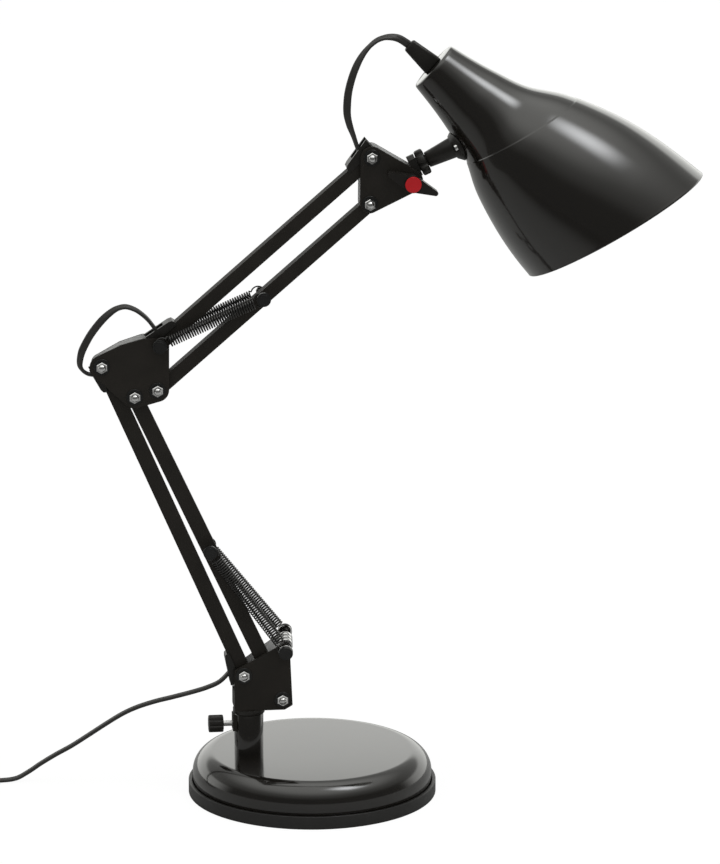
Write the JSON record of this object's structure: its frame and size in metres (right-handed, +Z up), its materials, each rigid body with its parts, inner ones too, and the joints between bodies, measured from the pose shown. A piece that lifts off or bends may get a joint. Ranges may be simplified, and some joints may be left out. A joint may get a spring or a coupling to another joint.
{
  "type": "swing arm desk lamp",
  "caption": "Spring-balanced swing-arm desk lamp: round weighted base, parallel-bar arms, tilting bell shade, flat cord.",
  "frame": {"origin": "centre of the foot's underside, on the desk", "axes": "+Z up; +X from the post towards the shade in the plane of the arm; +Y away from the wing nut's side"},
  "size_m": [0.6011, 0.2716, 0.5277],
  "materials": {
    "gloss_paint": "high gloss black",
    "bar_paint": "satin black",
    "foot_ring": "fine matte black",
    "pad": "soft matte",
    "iron": "rough casting",
    "plated_steel": "bright zinc plate",
    "black_steel": "blackened",
    "spring_steel": "blackened, bright where the turns catch light",
    "black_plastic": "moulded, slightly glossy",
    "red_plastic": "smooth red",
    "ceramic": "glazed white",
    "brass": "polished",
    "cord_sheath": "soft black sheath"
  },
  "bodies": {
    "base": {"base_cover": "gloss_paint", "base_weight": "iron", "base_ring": "foot_ring", "base_pad": "pad", "post": "gloss_paint", "post_plug": "plated_steel", "post_bolt": "plated_steel", "thumb_boss": "bar_paint", "mains_cord": "cord_sheath", "mains_coil": "cord_sheath", "mains_plug": "black_plastic", "plug_pins": "brass"},
    "thumb": {"thumb_screw": "plated_steel", "thumb_knob": "black_plastic"},
    "swivel": {"swivel_pin": "plated_steel", "swivel_collar": "black_plastic", "lower_bracket": "bar_paint", "lower_pivot_bolts": "plated_steel", "lower_pivot_nuts": "plated_steel", "lower_spacers": "black_plastic", "lower_spring_pin": "black_steel", "lower_pin_sleeves": "plated_steel", "lower_springs": "spring_steel"},
    "rear_bar": {"lower_rear_bar": "bar_paint", "lower_clips": "black_plastic", "lower_arm_cord": "cord_sheath"},
    "front_bar": {"lower_front_bar": "bar_paint", "lower_spring_bolt": "black_steel"},
    "elbow": {"mid_bracket": "bar_paint", "mid_pivot_bolts": "plated_steel", "mid_pivot_nuts": "plated_steel", "mid_spacers": "black_plastic", "mid_spring_bolt": "black_steel", "loop_cord": "cord_sheath", "upper_springs": "spring_steel"},
    "top_bar": {"upper_top_bar": "bar_paint", "upper_clips": "black_plastic", "upper_arm_cord": "cord_sheath"},
    "low_bar": {"upper_low_bar": "bar_paint", "upper_spring_bolt": "black_steel"},
    "top_joint": {"top_bracket": "bar_paint", "top_pivot_bolts": "plated_steel", "top_pivot_nuts": "plated_steel", "top_spacers": "black_plastic", "tilt_bolt": "plated_steel"},
    "wing": {"wing_nut": "black_plastic", "red_cap": "red_plastic"},
    "lug": {"neck_lug": "black_plastic"},
    "lock": {"lock_ring": "black_plastic"},
    "head": {"neck_tube": "black_plastic", "saddle": "black_plastic", "saddle_screws": "plated_steel", "shade": "gloss_paint", "retaining_ring": "plated_steel", "lamp_holder": "ceramic", "holder_contacts": "brass", "strain_relief": "black_plastic", "head_cord": "cord_sheath"}
  },
  "joints": [
    {"name": "base_swivel", "type": "hinge", "parent": "base", "child": "swivel", "pos_m": [-0.0436, 0, 0.058], "axis": [0, 0, 1], "range_deg": [-150, 150], "deforming": ["mains_cord"]},
    {"name": "thumb_turn", "type": "hinge", "parent": "base", "child": "thumb", "pos_m": [-0.062, 0, 0.0504], "axis": [1, 0, 0], "range_deg": [0, 360]},
    {"name": "lower_arm", "type": "hinge", "parent": "swivel", "child": "rear_bar", "pos_m": [-0.0477, 0, 0.0868], "axis": [0, 1, 0], "range_deg": [-1, 12], "deforming": ["lower_springs", "mains_cord"]},
    {"name": "lower_front", "type": "hinge", "parent": "swivel", "child": "front_bar", "pos_m": [-0.02126, 0, 0.06877], "axis": [0, 1, 0], "range_deg": [-1, 12]},
    {"name": "elbow_level", "type": "hinge", "parent": "rear_bar", "child": "elbow", "pos_m": [-0.14263, 0, 0.30723], "axis": [0, 1, 0], "range_deg": [-12, 1], "deforming": ["loop_cord"]},
    {"name": "upper_arm", "type": "hinge", "parent": "elbow", "child": "top_bar", "pos_m": [-0.10374, 0, 0.3217], "axis": [0, 1, 0], "range_deg": [-25, 35], "deforming": ["upper_springs", "loop_cord", "head_cord"]},
    {"name": "upper_front", "type": "hinge", "parent": "elbow", "child": "low_bar", "pos_m": [-0.10513, 0, 0.28983], "axis": [0, 1, 0], "range_deg": [-25, 35]},
    {"name": "top_level", "type": "hinge", "parent": "top_bar", "child": "top_joint", "pos_m": [0.04041, 0, 0.447], "axis": [0, 1, 0], "range_deg": [-35, 25]},
    {"name": "wing_turn", "type": "hinge", "parent": "top_joint", "child": "wing", "pos_m": [0.06712, -0.014, 0.43023], "axis": [0, 1, 0], "range_deg": [0, 360]},
    {"name": "head_tilt", "type": "hinge", "parent": "top_joint", "child": "lug", "pos_m": [0.06712, 0, 0.43023], "axis": [0, 1, 0], "range_deg": [-30, 60], "deforming": ["head_cord"]},
    {"name": "lock_turn", "type": "hinge", "parent": "lug", "child": "lock", "pos_m": [0.07342, 0, 0.44063], "axis": [0.907, 0, 0.421], "range_deg": [0, 360]},
    {"name": "head_swivel", "type": "hinge", "parent": "lug", "child": "head", "pos_m": [0.07342, 0, 0.44063], "axis": [0.907, 0, 0.421], "range_deg": [-80, 80], "deforming": ["head_cord"]}
  ],
  "couplings": [
    {"joint": "lower_front", "follows": "lower_arm", "ratio": 1},
    {"joint": "elbow_level", "follows": "lower_arm", "ratio": -1},
    {"joint": "upper_front", "follows": "upper_arm", "ratio": 1},
    {"joint": "top_level", "follows": "upper_arm", "ratio": -1}
  ]
}
